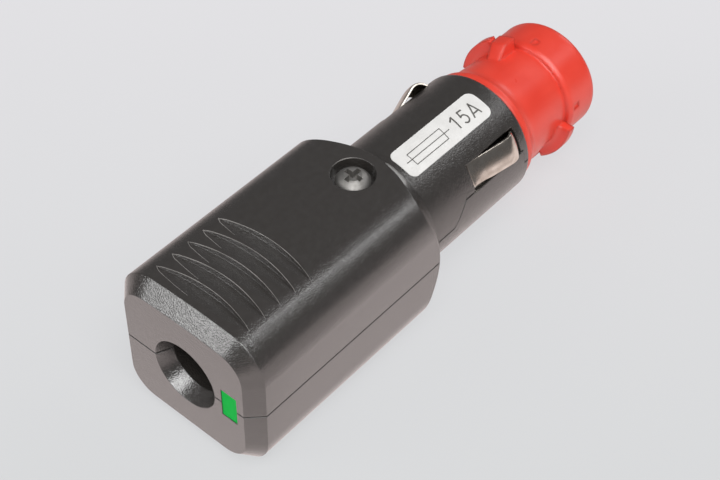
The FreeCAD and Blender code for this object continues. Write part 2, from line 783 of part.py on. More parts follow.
def live_contact():
    """Plate behind the coil spring, bent back along the bore's side to the live terminal."""
    body = new_body("live_contact")
    bore_side = f"sqrt({BARREL_INSIDE} * {BARREL_INSIDE} - plate_half_height * plate_half_height)"
    tail = f"(plate_thickness + strip_gap - {bore_side})"
    plan = sketch_on(body, "live_plan", "XY_Plane")
    outline(plan, [
        (PLATE_FRONT, "plate_reach"),
        (PLATE_BACK, "plate_reach"),
        (PLATE_BACK, tail),
        ("-terminal_setback", tail),
        ("-terminal_setback", f"{tail} - plate_thickness"),
        (PLATE_FRONT, f"{tail} - plate_thickness"),
    ])
    pad(body, plan, "2 * plate_half_height", SideType="Symmetric")
    return body


def earth_strip():
    """Arch that lies under both springs' tails, with a leg back to the earth terminal."""
    body = new_body("earth_strip")
    outer = f"({BARREL_INSIDE} - {TAIL_ROOM})"
    inner = f"({outer} - strip_thickness)"
    rear = f"({SLOT_START} - spring_tail - strip_width / 2)"
    front = f"({rear} + strip_width)"
    arch = sketch_on(body, "arch_section", "XY_Plane")
    rectangle(arch, rear, inner, front, outer)
    revolve(body, arch, sweep="strip_sweep")
    leg = sketch_on(body, "strip_leg", "XY_Plane")
    rectangle(leg, "-terminal_setback", inner, front, outer)
    pad(body, leg, "strip_tail_height")
    return body


# Side springs

def contact_spring(label, turn):
    """Bowed strip: a tail inside the barrel, a ramp out through the slot, a crown and a rounded front."""
    body = new_body(label)
    tail = "(barrel_radius - spring_tail_drop)"
    foot = f"({SLOT_START} + spring_foot_gap)"
    toe = f"({SLOT_START} + spring_foot_gap + spring_thickness)"
    knee = "(barrel_radius - spring_foot_drop)"
    front = f"({SLOT_END} - spring_front_gap)"
    peak = "(barrel_radius + spring_peak_rise)"
    top = f"({front} - spring_front_radius)"
    crown = f"({top} - spring_crown_length)"
    eaves = f"({peak} - spring_crown_drop)"
    axis = f"({peak} - spring_front_radius)"
    end = "(barrel_radius - spring_end_drop)"
    crown_radius = ("(spring_crown_length * spring_crown_length + spring_crown_drop * spring_crown_drop)"
                    " / (2 * spring_crown_drop)")
    thick = "spring_thickness"
    side = sketch_on(body, label + "_side", "XZ_Plane", turn=("x", turn))
    outline(side, [
        (f"{SLOT_START} - spring_tail", tail),
        (f"{SLOT_START} - spring_tail", f"{tail} - {thick}"),
        (toe, f"{tail} - {thick}"),
        (f"{toe} + {thick}", f"{knee} - {thick}"),
        (crown, f"{eaves} - {thick}"),
        (top, f"{peak} - {thick}", crown_radius, -1),
        (f"{front} - {thick}", axis, f"spring_front_radius - {thick}", -1),
        (f"{front} - {thick}", end),
        (front, end),
        (front, axis),
        (top, peak, "spring_front_radius", 1),
        (crown, eaves, crown_radius, 1),
        (f"{foot} + {thick}", knee),
        (foot, tail),
    ])
    pad(body, side, "spring_width", SideType="Symmetric")
    return body


# Live chain on the axis

def coil_spring():
    body = new_body("coil_spring")
    wire = sketch_on(body, "coil_section", "XZ_Plane")
    circle(wire, f"{PLATE_FRONT} + coil_wire", "coil_radius", "coil_wire")
    add_feature(body, "AdditiveHelix", wire,
                {"ReferenceAxis": (wire, ["H_Axis"]), "Mode": "height-turns-angle"},
                {"Height": "coil_length - 2 * coil_wire", "Turns": "coil_turns"})
    return body


def fuse():
    """Glass cartridge with a metal cap on each end and a wire between them."""
    bore = "(fuse_radius - fuse_cap_wall)"
    caps = []
    for label, face, way in (("fuse_rear_cap", FUSE_REAR, ""), ("fuse_front_cap", FUSE_FRONT, "-")):
        caps.append(turned(label, [
            (face, "0"),
            (face, "fuse_radius"),
            (f"{face} + {way}fuse_cap_length", "fuse_radius"),
            (f"{face} + {way}fuse_cap_length", bore),
            (f"{face} + {way}fuse_cap_wall", bore),
            (f"{face} + {way}fuse_cap_wall", "0"),
        ]))
    start = f"{FUSE_REAR} + fuse_cap_wall"
    end = f"{FUSE_FRONT} - fuse_cap_wall"
    glass = turned("fuse_tube", [
        (start, f"{bore} - fuse_glass_wall"), (end, f"{bore} - fuse_glass_wall"), (end, bore), (start, bore),
    ])
    wire = rod("fuse_wire", start, end, "0", "0", "fuse_wire_radius")
    return caps + [glass, wire]


def tip_contact():
    shoulder = f"({FUSE_FRONT} + tip_flange_length)"
    end = f"({ADAPTER_FRONT} + tip_stand)"
    return turned("tip_contact", [
        (FUSE_FRONT, "0"),
        (end, "0"),
        (end, "tip_radius - tip_round"),
        (f"{end} - tip_round", "tip_radius", "tip_round", 1),
        (shoulder, "tip_radius"),
        (shoulder, "tip_flange_radius"),
        (FUSE_FRONT, "tip_flange_radius"),
    ])


# Red adapter ring

def adapter_ring():
    body = new_body("adapter_ring")
    bore = "(nose_radius + adapter_fit)"
    groove_radius = f"({LUG_CORNER} + adapter_fit)"
    groove_rear = f"({LUG_REAR} - adapter_lug_gap)"
    groove_front = f"({LUG_REAR} + lug_length + adapter_lug_gap)"
    collar = "(barrel_radius - collar_step)"
    flare_start = f"({ADAPTER_REAR} + collar_land)"
    flare_drop = f"({collar} - neck_radius)"
    flare = f"(flare_length * flare_length + {flare_drop} * {flare_drop}) / (2 * {flare_drop})"
    head = f"({ADAPTER_FRONT} - head_length)"
    neck_front = "(neck_radius - neck_taper)"
    profile = sketch_on(body, "ring_profile", "XZ_Plane")
    outline(profile, [
        (ADAPTER_REAR, bore),
        (groove_rear, bore), (groove_rear, groove_radius),
        (groove_front, groove_radius), (groove_front, bore),
        (ADAPTER_FRONT, bore),
        (ADAPTER_FRONT, "head_radius - head_edge"),
        (f"{ADAPTER_FRONT} - head_edge", "head_radius", "head_edge", 1),
        (f"{head} + head_step", "head_radius"),
        (head, f"{neck_front} + head_rise"),
        (head, neck_front),
        (f"{flare_start} + flare_length", "neck_radius"),
        (flare_start, collar, flare, -1),
        (ADAPTER_REAR, collar),
    ])
    revolve(body, profile)
    entry = sketch_on(body, "lug_entry", "YZ_Plane", {"z": ADAPTER_REAR}, ("z", "90 - adapter_release"))
    wide = "(lug_width / 2 + adapter_lug_gap)"
    rectangle(entry, f"-{groove_radius}", f"-{wide}", groove_radius, wide)
    pocket(body, entry, f"{groove_rear} - {ADAPTER_REAR}", Reversed=True)
    for side in ("top", "side"):
        dent = sketch_on(body, f"{side}_dent", "XY_Plane", turn=("x", f"{side}_dent_turn"))
        dent_front = f"({ADAPTER_FRONT} - {side}_dent_place + dent_length / 2)"
        rectangle(dent, f"{dent_front} - dent_length", "head_radius - dent_depth",
                  dent_front, "head_radius + dent_depth")
        groove(body, dent, sweep="dent_sweep")
    grip_wings(body)
    return body


def grip_wings(body):
    """Two opposite half flanges to turn the ring by, each with a sloped hook past its end."""
    rear = f"({ADAPTER_REAR} + wing_place)"
    front = f"({rear} + wing_thickness)"
    root = "(neck_radius - neck_taper - collar_step)"
    neck_start = "(collar_land + flare_length)"
    neck_length = f"(adapter_length - head_length - {neck_start})"
    neck_slope = f"(neck_taper / {neck_length})"
    skin = f"(neck_radius - {neck_slope} * (wing_place - wing_root - {neck_start}) - wing_sink)"
    wing = sketch_on(body, "wing_section", "XY_Plane", turn=("x", "wing_start"))
    outline(wing, [
        (f"{rear} - wing_root", root),
        (f"{rear} - wing_root", skin),
        (rear, f"{skin} + wing_root", "wing_root", 1),
        (rear, "wing_radius"),
        (front, "wing_radius"),
        (front, root),
    ])
    wing_sweep = revolve(body, wing, sweep="wing_sweep")
    hook = sketch_on(body, "hook_section", "XY_Plane", turn=("x", "hook_start"))
    outline(hook, [
        (f"{front} - hook_length", root),
        (front, root),
        (front, "wing_radius"),
        (f"{front} - hook_length + hook_slope_length", "wing_radius"),
    ])
    hook_sweep = revolve(body, hook, sweep="hook_sweep")
    pair = body.newObject("PartDesign::PolarPattern", "wing_pair")
    pair.Originals = [wing_sweep, hook_sweep]
    pair.Axis = (origin_feature(body, "X_Axis"), [""])
    pair.Occurrences = 2
    body.Tip = pair
    doc.recompute()
    expect_change(pair, hook_sweep)


# Rating label

def rating_label():
    """Thin patch with rounded corners that follows the barrel."""
    body = new_body("rating_label")
    section = sketch_on(body, "label_section", "XY_Plane", turn=("x", "label_start"))
    rectangle(section, "label_place", "barrel_radius", "label_place + label_length",
              "barrel_radius + label_thickness")
    revolve(body, section, sweep="label_sweep")
    thick = number("label_thickness")
    dress(body, "Fillet", "label_corners", "label_corner", lambda edge: abs(edge.Length - thick) < 1e-6)
    return body


pieces = part_halves()
pieces += [housing_screw(), cable_clamp(), clamp_screw("left_clamp_screw", "-")]
pieces += [clamp_screw("right_clamp_screw", ""), indicator_lamp()]
pieces += lamp_wiring()
pieces += [terminal("earth_terminal", 1), terminal_screw("earth_terminal_screw", 1), earth_strip()]
pieces += [terminal("live_terminal", -1), terminal_screw("live_terminal_screw", -1), live_contact()]
pieces += [contact_spring("left_contact_spring", "-spring_angle")]
pieces += [contact_spring("right_contact_spring", "spring_angle")]
pieces += [coil_spring(), tip_contact()]
pieces += fuse()
pieces += [adapter_ring(), rating_label()]
doc.recompute()

faults = [item.Name for item in doc.Objects if "Invalid" in item.State or "Error" in item.State]
faults += [piece.Label for piece in pieces if piece.Shape.isNull() or not piece.Shape.isValid()]
if faults:
    raise RuntimeError("not built: " + ", ".join(faults))

os.makedirs("parts", exist_ok=True)
for piece in pieces:
    piece.Shape.exportStep(f"parts/{piece.Label}.step")
    print(piece.Label, len(piece.Shape.Solids), round(piece.Shape.Volume, 2))
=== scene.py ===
# %% [markdown]
# # A twelve volt lighter plug with a red adapter ring
# The plug is a moulded black housing in two halves, a barrel with a sprung contact on each side, a small
# printed label, a green lamp beside the cable entry and a red ring that twists onto the nose. The solids
# come from the CAD model, which is loaded first as a fixed frame. This lesson sets up the camera and the
# light, gives the solids their finishes, and draws what is finer than the solids: the round backs of the
# side contacts, a coil spring, grey lips along the grip, which are painted highlights, and the label with
# its print.

# %% Load the imported plug
import math

import bmesh
import bpy
import numpy as np
from mathutils import Matrix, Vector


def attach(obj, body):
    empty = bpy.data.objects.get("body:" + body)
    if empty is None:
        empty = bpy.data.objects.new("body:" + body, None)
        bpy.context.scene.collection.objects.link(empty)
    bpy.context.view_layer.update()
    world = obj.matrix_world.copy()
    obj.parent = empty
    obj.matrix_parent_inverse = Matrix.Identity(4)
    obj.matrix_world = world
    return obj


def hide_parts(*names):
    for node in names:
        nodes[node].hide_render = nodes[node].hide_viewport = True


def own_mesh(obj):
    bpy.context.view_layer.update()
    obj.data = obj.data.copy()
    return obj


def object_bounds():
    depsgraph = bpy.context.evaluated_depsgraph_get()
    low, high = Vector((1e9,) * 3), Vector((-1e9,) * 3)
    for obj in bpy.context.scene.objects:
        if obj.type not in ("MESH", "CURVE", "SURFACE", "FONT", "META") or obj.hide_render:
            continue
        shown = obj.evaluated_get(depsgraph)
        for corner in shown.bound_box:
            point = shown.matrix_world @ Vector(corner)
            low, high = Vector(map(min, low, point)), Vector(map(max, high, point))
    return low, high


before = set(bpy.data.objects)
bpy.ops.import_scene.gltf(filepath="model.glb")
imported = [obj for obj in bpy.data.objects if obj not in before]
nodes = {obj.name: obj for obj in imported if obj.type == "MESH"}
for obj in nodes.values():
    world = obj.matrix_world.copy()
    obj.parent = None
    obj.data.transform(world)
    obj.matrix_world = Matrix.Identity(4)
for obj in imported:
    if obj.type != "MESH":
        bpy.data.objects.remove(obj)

cad_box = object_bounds()
MM = 0.001

# %% [markdown]
# ## Camera
# The photograph was taken from behind the cable end, above and to the right. A pinhole camera was fitted to
# the barrel's circles and the housing's edges, which gives a place and three directions. Writing those
# straight into the camera's matrix is surer than turning the camera by hand until the outlines agree.

# %% Place the camera
FOCAL_PIXELS = 1549.6
PICTURE_WIDTH = 720
SENSOR_WIDTH = 36.0
NEAREST = 0.01

camera = bpy.data.objects.new("camera", bpy.data.cameras.new("camera"))
bpy.context.scene.collection.objects.link(camera)
picture_right = np.array([0.65029, -0.75955, 0.01471])
picture_up = np.array([0.54732, 0.48184, 0.68431])
picture_back = np.cross(picture_right, picture_up)
camera_place = np.array([-125.143, -100.328, 164.893]) * MM
camera_matrix = np.eye(4)
camera_matrix[:3, :3] = np.stack([picture_right, picture_up, picture_back], axis=1)
camera_matrix[:3, 3] = camera_place
camera.matrix_world = Matrix(camera_matrix.tolist())
camera.data.sensor_width = SENSOR_WIDTH
camera.data.lens = FOCAL_PIXELS / PICTURE_WIDTH * SENSOR_WIDTH
camera.data.clip_start = NEAREST
bpy.context.scene.camera = camera
print("camera lens in millimetres:", round(camera.data.lens, 2))

# %% [markdown]
# ## Surfaces from formulas
# Every piece that this lesson draws is a grid of points worked out as one array. Neighbours in the grid
# become faces, so the formula alone decides the shape.

# %% Turn a grid of points into a mesh
def face_outwards(mesh):
    """Turns the faces of a closed surface so that they all point out of it."""
    shell = bmesh.new()
    shell.from_mesh(mesh)
    bmesh.ops.recalc_face_normals(shell, faces=shell.faces)
    shell.to_mesh(mesh)
    shell.free()


def grid_object(name, points, closed_v=False, capped=False):
    """A mesh from an array of points (rows, columns, 3): neighbours in the grid become quads. Closed columns
    join the last to the first, and caps fill the first and the last row."""
    rows, columns = points.shape[:2]
    u = np.arange(rows - 1)
    v = np.arange(columns if closed_v else columns - 1)
    u, v = np.meshgrid(u, v, indexing="ij")
    v_next = (v + 1) % columns
    corners = [u * columns + v, (u + 1) * columns + v, (u + 1) * columns + v_next, u * columns + v_next]
    faces = np.stack(corners, axis=-1).reshape(-1, 4).tolist()
    if capped:
        faces += [list(range(columns)), list(range((rows - 1) * columns, rows * columns))]
    mesh = bpy.data.meshes.new(name)
    mesh.from_pydata(points.reshape(-1, 3).tolist(), [], faces)
    if capped:
        face_outwards(mesh)
    mesh.update()
    piece = bpy.data.objects.new(name, mesh)
    bpy.context.scene.collection.objects.link(piece)
    return piece


print("mesh helpers:", [helper.__name__ for helper in (face_outwards, grid_object)])

# %% [markdown]
# ## Floor and light
# The plug lies on a pale sheet that runs out of the picture. Black plastic has hardly any colour of its own,
# so what shows on its sides is the sheet mirrored in it. The sheet therefore keeps its pale tone for mirror
# rays as well as for the camera, and stays an ordinary matt floor for the light that bounces on it.

# %% Lay the floor
FLOOR_REACH = 1.6


def floor_points(height):
    """A flat sheet: x and y run over the grid and z is constant."""
    across = np.linspace(-FLOOR_REACH, FLOOR_REACH, 3)
    x, y = np.meshgrid(across, across, indexing="ij")
    return np.stack([x, y, np.full_like(x, height)], axis=-1)


floor = grid_object("floor", floor_points(cad_box[0][2]))
print("floor at", round(cad_box[0][2] / MM, 2), "mm")

# %% [markdown]
# A material is a tree of nodes. A few small helpers keep the lesson short: one adds a node, one joins an
# output to an input, one starts a finish, and one gives the place on a solid, in metres.

# %% Helpers for node trees
def add(tree, kind, values=None, **settings):
    """A new node, with its settings and the values of its inputs."""
    node = tree.nodes.new(kind)
    for name, value in settings.items():
        setattr(node, name, value)
    for name, value in (values or {}).items():
        node.inputs[name].default_value = value
    return node


def join(tree, output, target):
    """A link from an output to an input."""
    tree.links.new(output, target)


def new_finish(name, values):
    """A material with a Principled shader whose plain values are set on its own sockets."""
    finish = bpy.data.materials.new(name)
    finish.use_nodes = True
    tree = finish.node_tree
    shader = tree.nodes["Principled BSDF"]
    for socket, value in values.items():
        shader.inputs[socket].default_value = value
    return finish, tree, shader


def place_in_metres(tree):
    """The place in the object's own frame, which is the plug's frame for every piece."""
    return add(tree, "ShaderNodeTexCoord").outputs["Object"]


print("node helpers:", [helper.__name__ for helper in (add, join, new_finish, place_in_metres)])

# %% [markdown]
# The sheet's finish tells three kinds of rays apart. Its tone for mirror rays is a short table: the place
# across the plug, in metres, against the share of the full tone.

# %% Make the pale sheet
MATT_TONE = (0.86, 0.86, 0.87, 1)
SHARE_SEEN = 0.86
NEAR_TONE = (0.636, 0.650, 0.656, 1)
FAR_TONE = (0.752, 0.745, 0.768, 1)
FADE_WAY = (0.75, 0.66, 0)
FADE_REACH = 0.07
MIRRORED_TONE = (1.0, 0.88, 0.86)
MIRRORED_WAY = (0.6, 1.0, 0)
# Painted shade: the dips and the fall in MIRRORED_FALL, and the fade in DUSK, darken the sheet only as the
# plug's mirrors show it.
MIRRORED_FALL = {-0.11: 0.95, -0.07: 0.72, -0.048: 0.70, -0.035: 0.94, -0.01: 0.90,
                 0.012: 0.88, 0.026: 0.62, 0.06: 0.53, 0.12: 0.36, 0.3: 0.25}
DUSK = {"From Min": 0.14, "From Max": 0.6, "To Min": 1.0, "To Max": 0.35}


def pale_sheet():
    """Matt for the light that bounces on it, a tone of its own for the camera, which falls off slightly
    towards the viewer, and for mirror rays a tone with painted shade in it: bright beside the plug, darker
    off its rear corner, falling off behind it and fading far away."""
    sheet = bpy.data.materials.new("pale_sheet")
    sheet.use_nodes = True
    tree = sheet.node_tree
    tree.nodes.clear()
    matt = add(tree, "ShaderNodeBsdfDiffuse", {"Color": MATT_TONE})
    away = add(tree, "ShaderNodeVectorMath", {1: FADE_WAY}, operation="DOT_PRODUCT")
    join(tree, place_in_metres(tree), away.inputs[0])
    fade = add(tree, "ShaderNodeMapRange", {"From Min": -FADE_REACH, "From Max": FADE_REACH})
    join(tree, away.outputs["Value"], fade.inputs["Value"])
    shade = add(tree, "ShaderNodeMix", {6: NEAR_TONE, 7: FAR_TONE}, data_type="RGBA")
    join(tree, fade.outputs["Result"], shade.inputs["Factor"])
    seen = add(tree, "ShaderNodeEmission", {"Strength": 1.0})
    join(tree, shade.outputs[2], seen.inputs["Color"])
    first, last = min(MIRRORED_FALL), max(MIRRORED_FALL)
    reach = add(tree, "ShaderNodeMapRange", {"From Min": first, "From Max": last})
    behind = add(tree, "ShaderNodeVectorMath", {1: MIRRORED_WAY}, operation="DOT_PRODUCT")
    join(tree, place_in_metres(tree), behind.inputs[0])
    join(tree, behind.outputs["Value"], reach.inputs["Value"])
    fall = add(tree, "ShaderNodeValToRGB")
    while len(fall.color_ramp.elements) < len(MIRRORED_FALL):
        fall.color_ramp.elements.new(0.5)
    for stop, (place, share) in zip(fall.color_ramp.elements, MIRRORED_FALL.items()):
        stop.position = (place - first) / (last - first)
        stop.color = [share * tone for tone in MIRRORED_TONE] + [1]
    join(tree, reach.outputs["Result"], fall.inputs["Fac"])
    spread = add(tree, "ShaderNodeVectorMath", operation="LENGTH")
    join(tree, place_in_metres(tree), spread.inputs[0])
    dusk = add(tree, "ShaderNodeMapRange", DUSK)
    join(tree, spread.outputs["Value"], dusk.inputs["Value"])
    mirrored = add(tree, "ShaderNodeEmission")
    join(tree, fall.outputs["Color"], mirrored.inputs["Color"])
    join(tree, dusk.outputs["Result"], mirrored.inputs["Strength"])
    rays = add(tree, "ShaderNodeLightPath")
    share = add(tree, "ShaderNodeMath", {1: SHARE_SEEN}, operation="MULTIPLY")
    join(tree, rays.outputs["Is Camera Ray"], share.inputs[0])
    mirror_ray = add(tree, "ShaderNodeMath", operation="MAXIMUM")
    join(tree, rays.outputs["Is Glossy Ray"], mirror_ray.inputs[0])
    join(tree, rays.outputs["Is Transmission Ray"], mirror_ray.inputs[1])
    to_camera = add(tree, "ShaderNodeMixShader")
    join(tree, share.outputs[0], to_camera.inputs["Fac"])
    join(tree, matt.outputs[0], to_camera.inputs[1])
    join(tree, seen.outputs[0], to_camera.inputs[2])
    to_mirrors = add(tree, "ShaderNodeMixShader")
    join(tree, mirror_ray.outputs[0], to_mirrors.inputs["Fac"])
    join(tree, to_camera.outputs[0], to_mirrors.inputs[1])
    join(tree, mirrored.outputs[0], to_mirrors.inputs[2])
    surface = add(tree, "ShaderNodeOutputMaterial")
    join(tree, to_mirrors.outputs[0], surface.inputs["Surface"])
    return sheet


floor.data.materials.append(pale_sheet())
print("floor finish:", floor.data.materials[0].name)

# %% [markdown]
# Four soft boxes do the rest. One hangs above the camera and lights everything evenly. One hangs over the
# nose, to the right, where the housing's rounded edge mirrors it. One stands past the cable end, to the
# left, where the rear chamfer mirrors it, and one in front of the nose, for the rims that face away from
# the camera. The room itself is dim, so the flat top stays dark, as in the photograph.

# %% Hang the soft boxes
ROOM_TONE = (0.112, 0.112, 0.115, 1)


def soft_box(name, direction, distance, size, power):
    """A rectangle of light that hangs at a distance from the plug, in metres, and faces it."""
    lamp = bpy.data.lights.new(name, "AREA")
    lamp.shape = "RECTANGLE"
    lamp.size, lamp.size_y = size
    lamp.energy = power
    box = bpy.data.objects.new(name, lamp)
    bpy.context.scene.collection.objects.link(box)
    back = np.array(direction) / np.linalg.norm(direction)
    right = np.cross([0, 0, 1], back)
    right /= np.linalg.norm(right)
    matrix = np.eye(4)
    matrix[:3, :3] = np.stack([right, np.cross(back, right), back], axis=1)
    matrix[:3, 3] = back * distance
    box.matrix_world = Matrix(matrix.tolist())
    return box


soft_box("main_box", (-0.28, -0.40, 0.87), 0.9, (0.7, 0.7), 7.9)
soft_box("edge_box", (0.54, -0.295, 0.77), 0.8, (0.14, 0.42), 0.46)
soft_box("rear_box", (-0.745, 0.40, 0.53), 0.8, (0.46, 0.3), 1.5)
soft_box("front_box", (0.89, 0.03, 0.40), 0.8, (0.26, 0.26), 0.5)
room = bpy.data.worlds.new("room")
room.use_nodes = True
backdrop = room.node_tree.nodes["Background"]
backdrop.inputs["Color"].default_value = ROOM_TONE
backdrop.inputs["Strength"].default_value = 1.0
bpy.context.scene.world = room
bpy.context.scene.view_settings.view_transform = "Standard"
print("soft boxes:", [lamp.name for lamp in bpy.data.lights])

# %% [markdown]
# ## Grain of a moulded surface
# The mould of the housing was spark eroded, which leaves grains of a fifth of a millimetre that glitter
# wherever a light is mirrored. The red ring and the lamp come from smoother moulds. One node group gives a
# grain height at any size, and each plastic sets its own.

# %% Build the grain group
COARSE_SHARE = 0.2
HEIGHT_RANGE = (0.4, 1.1)
EDGE_SAMPLES = 6


def grain_group():
    """Height = fine + patchiness * coarse, where the coarse noise has a fifth of the fine one's grains, so
    that grains gather in patches."""
    group = bpy.data.node_groups.new("moulded_grain", "ShaderNodeTree")
    group.interface.new_socket("Grains per metre", in_out="INPUT", socket_type="NodeSocketFloat")
    group.interface.new_socket("Patchiness", in_out="INPUT", socket_type="NodeSocketFloat")
    group.interface.new_socket("Height", in_out="OUTPUT", socket_type="NodeSocketFloat")
    group.interface.new_socket("Patches", in_out="OUTPUT", socket_type="NodeSocketFloat")
    start = add(group, "NodeGroupInput")
    end = add(group, "NodeGroupOutput")
    place = place_in_metres(group)
    fine = add(group, "ShaderNodeTexNoise", {"Detail": 0.0})
    join(group, place, fine.inputs["Vector"])
    join(group, start.outputs["Grains per metre"], fine.inputs["Scale"])
    wider = add(group, "ShaderNodeMath", {1: COARSE_SHARE}, operation="MULTIPLY")
    join(group, start.outputs["Grains per metre"], wider.inputs[0])
    coarse = add(group, "ShaderNodeTexNoise", {"Detail": 1.0})
    join(group, place, coarse.inputs["Vector"])
    join(group, wider.outputs[0], coarse.inputs["Scale"])
    height = add(group, "ShaderNodeMath", operation="MULTIPLY_ADD")
    join(group, coarse.outputs["Fac"], height.inputs[0])
    join(group, start.outputs["Patchiness"], height.inputs[1])
    join(group, fine.outputs["Fac"], height.inputs[2])
    join(group, height.outputs[0], end.inputs["Height"])
    join(group, coarse.outputs["Fac"], end.inputs["Patches"])
    return group


GRAIN = grain_group()


def grain(tree, per_metre, patchiness):
    """The grain group as a node of one finish."""
    node = add(tree, "ShaderNodeGroup", node_tree=GRAIN)
    node.inputs["Grains per metre"].default_value = per_metre
    node.inputs["Patchiness"].default_value = patchiness
    return node


def raise_bump(tree, shader, height, depth, strength=1.0, edge=0.0):
    """Feeds a height to the shader's normal. An edge above zero also softens the solid's sharp corners."""
    bump = add(tree, "ShaderNodeBump", {"Strength": strength, "Distance": depth})
    join(tree, height, bump.inputs["Height"])
    if edge:
        soft = add(tree, "ShaderNodeBevel", {"Radius": edge}, samples=EDGE_SAMPLES)
        join(tree, soft.outputs[0], bump.inputs["Normal"])
    join(tree, bump.outputs[0], shader.inputs["Normal"])


def tint(tree, shader, factor, dark, light, low=0.3, high=0.7, socket="Base Color"):
    """Carries a value between two tones into one of the shader's sockets."""
    ramp = add(tree, "ShaderNodeMapRange", {"From Min": low, "From Max": high})
    join(tree, factor, ramp.inputs["Value"])
    if socket == "Base Color":
        blend = add(tree, "ShaderNodeMix", data_type="RGBA")
        blend.inputs[6].default_value = (*dark, 1)
        blend.inputs[7].default_value = (*light, 1)
        join(tree, ramp.outputs["Result"], blend.inputs["Factor"])
        join(tree, blend.outputs[2], shader.inputs[socket])
        return
    ramp.inputs["To Min"].default_value = dark
    ramp.inputs["To Max"].default_value = light
    join(tree, ramp.outputs["Result"], shader.inputs[socket])


def dress(finish, *names):
    """Puts one finish on the CAD solids of these nodes."""
    for name in names:
        nodes[name].data.materials.clear()
        nodes[name].data.materials.append(finish)


print("grain group:", GRAIN.name)

# %% [markdown]
# ## Housing
# Both halves are one black plastic. It is grey rather than black where it mirrors the sheet. A thin coat
# stands for the polish that hands give the housing, and ends within a millimetre of the shoulder.

# %% Finish the housing
SHOULDER_BLEND = 0.001


def black_plastic():
    """The coat's weight falls from the housing's to the barrel's along X, past the shoulder at x = 0."""
    values = {"IOR": 2.0, "Coat IOR": 1.55, "Coat Roughness": 0.2}
    finish, tree, shader = new_finish("black_plastic", values)
    grains = grain(tree, 5200.0, 0.3)
    raise_bump(tree, shader, grains.outputs["Height"], 0.000065, 0.8, edge=0.0002)
    tint(tree, shader, grains.outputs["Patches"], (0.033, 0.029, 0.026), (0.039, 0.035, 0.032))
    tint(tree, shader, grains.outputs["Height"], 0.19, 0.27, *HEIGHT_RANGE, "Roughness")
    along = add(tree, "ShaderNodeSeparateXYZ")
    join(tree, place_in_metres(tree), along.inputs[0])
    tint(tree, shader, along.outputs["X"], 0.7, 0.2, 0.0, SHOULDER_BLEND, "Coat Weight")
    return finish


dress(black_plastic(), "upper_housing", "lower_housing")
print("housing finish on two halves")

# %% [markdown]
# ## Red ring
# The ring is a smooth red plastic. Its edges are softened in the normal, over most of a millimetre.

# %% Finish the ring
def red_plastic():
    """Broad, shallow grains, and two reds that lie close together."""
    finish, tree, shader = new_finish("red_plastic", {"Specular IOR Level": 0.7})
    grains = grain(tree, 900.0, 0.8)
    raise_bump(tree, shader, grains.outputs["Height"], 0.00002, 0.3, edge=0.0008)
    tint(tree, shader, grains.outputs["Patches"], (0.80, 0.050, 0.028), (0.86, 0.066, 0.039))
    tint(tree, shader, grains.outputs["Height"], 0.27, 0.36, *HEIGHT_RANGE, "Roughness")
    return finish


dress(red_plastic(), "adapter_ring")
print("ring finish")

# %% [markdown]
# ## Metal
# The side contacts are rolled strip, so their scratches run along X. The same group serves every metal.

# %% Build the rolled metal group
LINE_STRETCH = (0.025, 1.0, 1.0)
TARNISH_SPOTS = 700.0


def rolled_group():
    """Height: a noise drawn out forty times along X. Tarnish: a noise that is the same all ways."""
    group = bpy.data.node_groups.new("rolled_lines", "ShaderNodeTree")
    group.interface.new_socket("Lines per metre", in_out="INPUT", socket_type="NodeSocketFloat")
    group.interface.new_socket("Height", in_out="OUTPUT", socket_type="NodeSocketFloat")
    group.interface.new_socket("Tarnish", in_out="OUTPUT", socket_type="NodeSocketFloat")
    start = add(group, "NodeGroupInput")
    end = add(group, "NodeGroupOutput")
    place = place_in_metres(group)
    stretch = add(group, "ShaderNodeMapping")
    stretch.inputs["Scale"].default_value = LINE_STRETCH
    join(group, place, stretch.inputs["Vector"])
    lines = add(group, "ShaderNodeTexNoise", {"Detail": 3.0})
    join(group, stretch.outputs[0], lines.inputs["Vector"])
    join(group, start.outputs["Lines per metre"], lines.inputs["Scale"])
    spots = add(group, "ShaderNodeTexNoise", {"Scale": TARNISH_SPOTS, "Detail": 4.0})
    join(group, place, spots.inputs["Vector"])
    join(group, lines.outputs["Fac"], end.inputs["Height"])
    join(group, spots.outputs["Fac"], end.inputs["Tarnish"])
    return group


ROLLED = rolled_group()


def metal(name, dark, light, smooth, rough, lines=9000.0, depth=0.00001):
    """Between two tones, where the darker, tarnished spots are also the rougher ones."""
    finish, tree, shader = new_finish(name, {"Metallic": 1.0})
    rolled = add(tree, "ShaderNodeGroup", {"Lines per metre": lines}, node_tree=ROLLED)
    raise_bump(tree, shader, rolled.outputs["Height"], depth, 0.4, edge=0.0001)
    tint(tree, shader, rolled.outputs["Tarnish"], dark, light)
    tint(tree, shader, rolled.outputs["Tarnish"], rough, smooth, socket="Roughness")
    return finish


nickel_strip = metal("nickel_strip", (0.62, 0.56, 0.49), (0.80, 0.74, 0.67), 0.13, 0.22)
dress(nickel_strip, "left_contact_spring", "right_contact_spring", "coil_spring")
dress(metal("zinc_steel", (0.30, 0.29, 0.275), (0.46, 0.445, 0.43), 0.48, 0.64),
      "housing_screw", "cable_clamp", "left_clamp_screw", "right_clamp_screw",
      "earth_terminal_screw", "live_terminal_screw")
dress(metal("plated_tip", (0.66, 0.62, 0.55), (0.80, 0.77, 0.71), 0.14, 0.26),
      "tip_contact", "fuse_rear_cap", "fuse_front_cap")
dress(metal("bright_brass", (0.62, 0.44, 0.17), (0.80, 0.61, 0.28), 0.2, 0.34),
      "earth_terminal", "live_terminal", "earth_strip", "live_contact")
dress(metal("tinned_wire", (0.58, 0.58, 0.57), (0.75, 0.75, 0.74), 0.25, 0.4),
      "lamp_lead", "resistor_lead", "fuse_wire")
print("finishes so far:", [finish.name for finish in bpy.data.materials])

